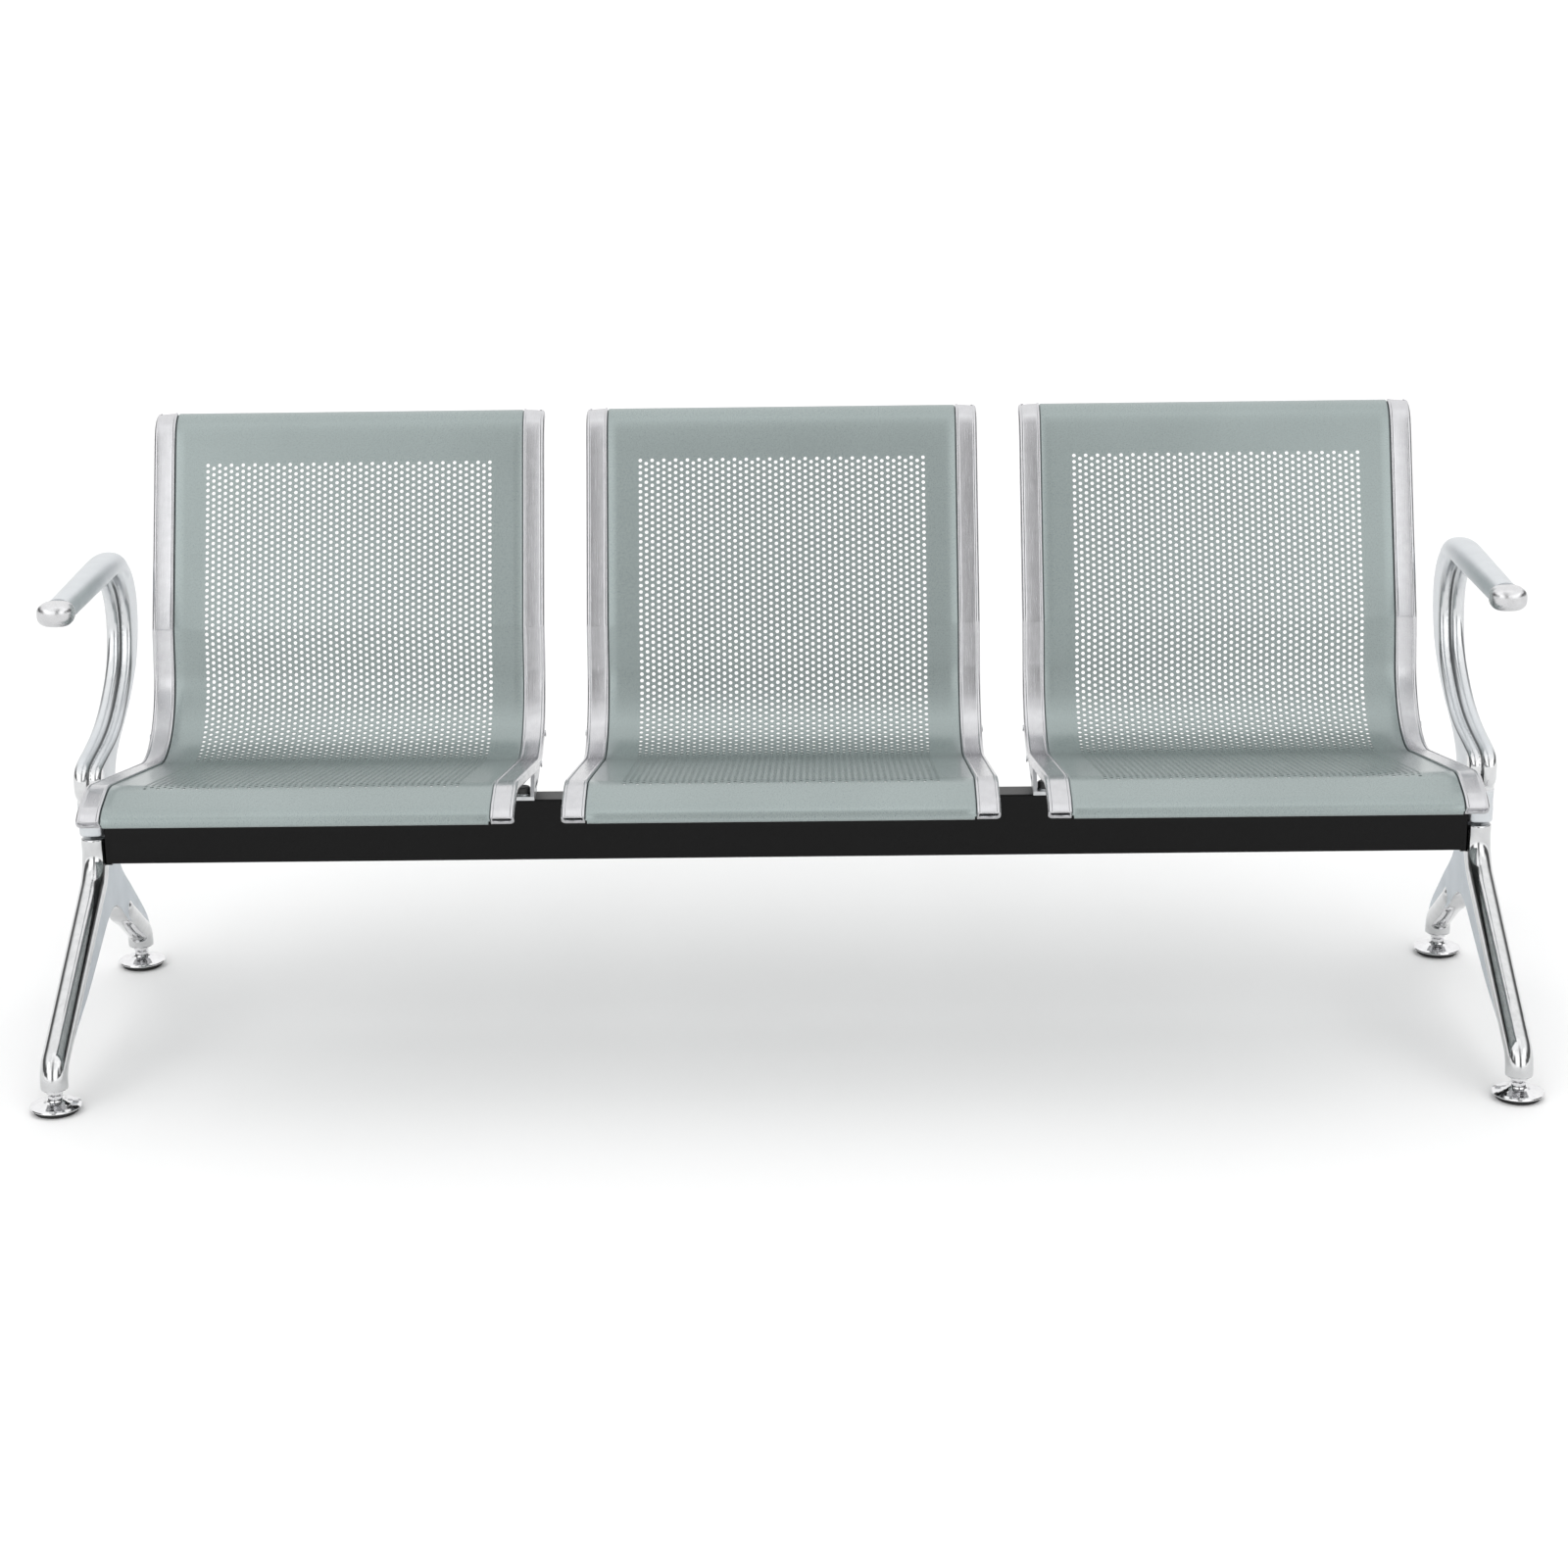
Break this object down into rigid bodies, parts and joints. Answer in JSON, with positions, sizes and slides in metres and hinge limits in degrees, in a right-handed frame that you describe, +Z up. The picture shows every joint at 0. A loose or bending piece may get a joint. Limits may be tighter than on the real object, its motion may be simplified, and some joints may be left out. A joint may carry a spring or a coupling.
{
  "type": "beam seating",
  "caption": "Beam seating: perforated bent-sheet seats in cast side frames on a black steel beam, with cast legs, hooked armrests and screw-adjusted levelling glides.",
  "frame": {"origin": "bottom centre of the whole object, on the floor", "axes": "+X along the beam to the right as seen from the front, -Y towards the front, +Z up"},
  "size_m": [1.8746, 0.662, 0.764],
  "materials": {
    "seat_coat": "fine textured powder coat, satin",
    "frame_metal": "polished casting",
    "bracket_metal": "satin casting",
    "leg_metal": "polished spine, satin web",
    "arm_metal": "polished riser, satin top",
    "beam_paint": "black, half gloss",
    "plated_steel": "zinc plated",
    "chrome_plate": "mirror",
    "black_plastic": "moulded",
    "black_rubber": "matt"
  },
  "bodies": {
    "seating": {"beam": "beam_paint", "beam_bracket_left": "beam_paint", "beam_bracket_right": "beam_paint", "leg_left": "leg_metal", "leg_right": "leg_metal", "armrest_left": "arm_metal", "armrest_right": "arm_metal", "armrest_cap_left": "arm_metal", "armrest_cap_right": "arm_metal", "armrest_ring_left": "arm_metal", "armrest_ring_right": "arm_metal", "leg_bolts_left": "plated_steel", "leg_bolts_right": "plated_steel", "panel_screws": "plated_steel", "bracket_screws": "plated_steel", "seat_bolts": "plated_steel", "seat_bolt_washers": "plated_steel", "seat_bolt_caps": "black_plastic", "beam_weld_nuts": "plated_steel", "seat_panel_left": "seat_coat", "seat_frame_left_a": "frame_metal", "seat_frame_left_b": "frame_metal", "seat_bracket_left_a": "bracket_metal", "seat_bracket_left_b": "bracket_metal", "seat_panel_middle": "seat_coat", "seat_frame_middle_a": "frame_metal", "seat_frame_middle_b": "frame_metal", "seat_bracket_middle_a": "bracket_metal", "seat_bracket_middle_b": "bracket_metal", "seat_panel_right": "seat_coat", "seat_frame_right_a": "frame_metal", "seat_frame_right_b": "frame_metal", "seat_bracket_right_a": "bracket_metal", "seat_bracket_right_b": "bracket_metal", "glide_nut_front_left": "plated_steel", "glide_nut_front_right": "plated_steel", "glide_nut_rear_left": "plated_steel", "glide_nut_rear_right": "plated_steel"},
    "glide_foot_front_left": {"glide_disc_front_left": "chrome_plate", "glide_pad_front_left": "black_rubber"},
    "glide_stem_front_left": {"glide_stem_front_left": "plated_steel"},
    "glide_foot_front_right": {"glide_disc_front_right": "chrome_plate", "glide_pad_front_right": "black_rubber"},
    "glide_stem_front_right": {"glide_stem_front_right": "plated_steel"},
    "glide_foot_rear_left": {"glide_disc_rear_left": "chrome_plate", "glide_pad_rear_left": "black_rubber"},
    "glide_stem_rear_left": {"glide_stem_rear_left": "plated_steel"},
    "glide_foot_rear_right": {"glide_disc_rear_right": "chrome_plate", "glide_pad_rear_right": "black_rubber"},
    "glide_stem_rear_right": {"glide_stem_rear_right": "plated_steel"}
  },
  "joints": [
    {"name": "glide_height_front_left", "type": "slide", "parent": "seating", "child": "glide_foot_front_left", "axis": [0, 0, 1], "range_m": [-0.015, 0.0024]},
    {"name": "glide_turn_front_left", "type": "hinge", "parent": "glide_foot_front_left", "child": "glide_stem_front_left", "pos_m": [-0.905, -0.29873, 0.03], "axis": [0, 0, 1], "range_deg": [-3090, 497]},
    {"name": "glide_height_front_right", "type": "slide", "parent": "seating", "child": "glide_foot_front_right", "axis": [0, 0, 1], "range_m": [-0.015, 0.0024]},
    {"name": "glide_turn_front_right", "type": "hinge", "parent": "glide_foot_front_right", "child": "glide_stem_front_right", "pos_m": [0.905, -0.29873, 0.03], "axis": [0, 0, 1], "range_deg": [-3090, 497]},
    {"name": "glide_height_rear_left", "type": "slide", "parent": "seating", "child": "glide_foot_rear_left", "axis": [0, 0, 1], "range_m": [-0.015, 0.0024]},
    {"name": "glide_turn_rear_left", "type": "hinge", "parent": "glide_foot_rear_left", "child": "glide_stem_rear_left", "pos_m": [-0.905, 0.23427, 0.03], "axis": [0, 0, 1], "range_deg": [-3090, 497]},
    {"name": "glide_height_rear_right", "type": "slide", "parent": "seating", "child": "glide_foot_rear_right", "axis": [0, 0, 1], "range_m": [-0.015, 0.0024]},
    {"name": "glide_turn_rear_right", "type": "hinge", "parent": "glide_foot_rear_right", "child": "glide_stem_rear_right", "pos_m": [0.905, 0.23427, 0.03], "axis": [0, 0, 1], "range_deg": [-3090, 497]}
  ],
  "couplings": [
    {"joint": "glide_turn_front_left", "follows": "glide_height_front_left", "rad_per_m": 3590.4},
    {"joint": "glide_turn_front_right", "follows": "glide_height_front_right", "rad_per_m": 3590.4},
    {"joint": "glide_turn_rear_left", "follows": "glide_height_rear_left", "rad_per_m": 3590.4},
    {"joint": "glide_turn_rear_right", "follows": "glide_height_rear_right", "rad_per_m": 3590.4}
  ]
}
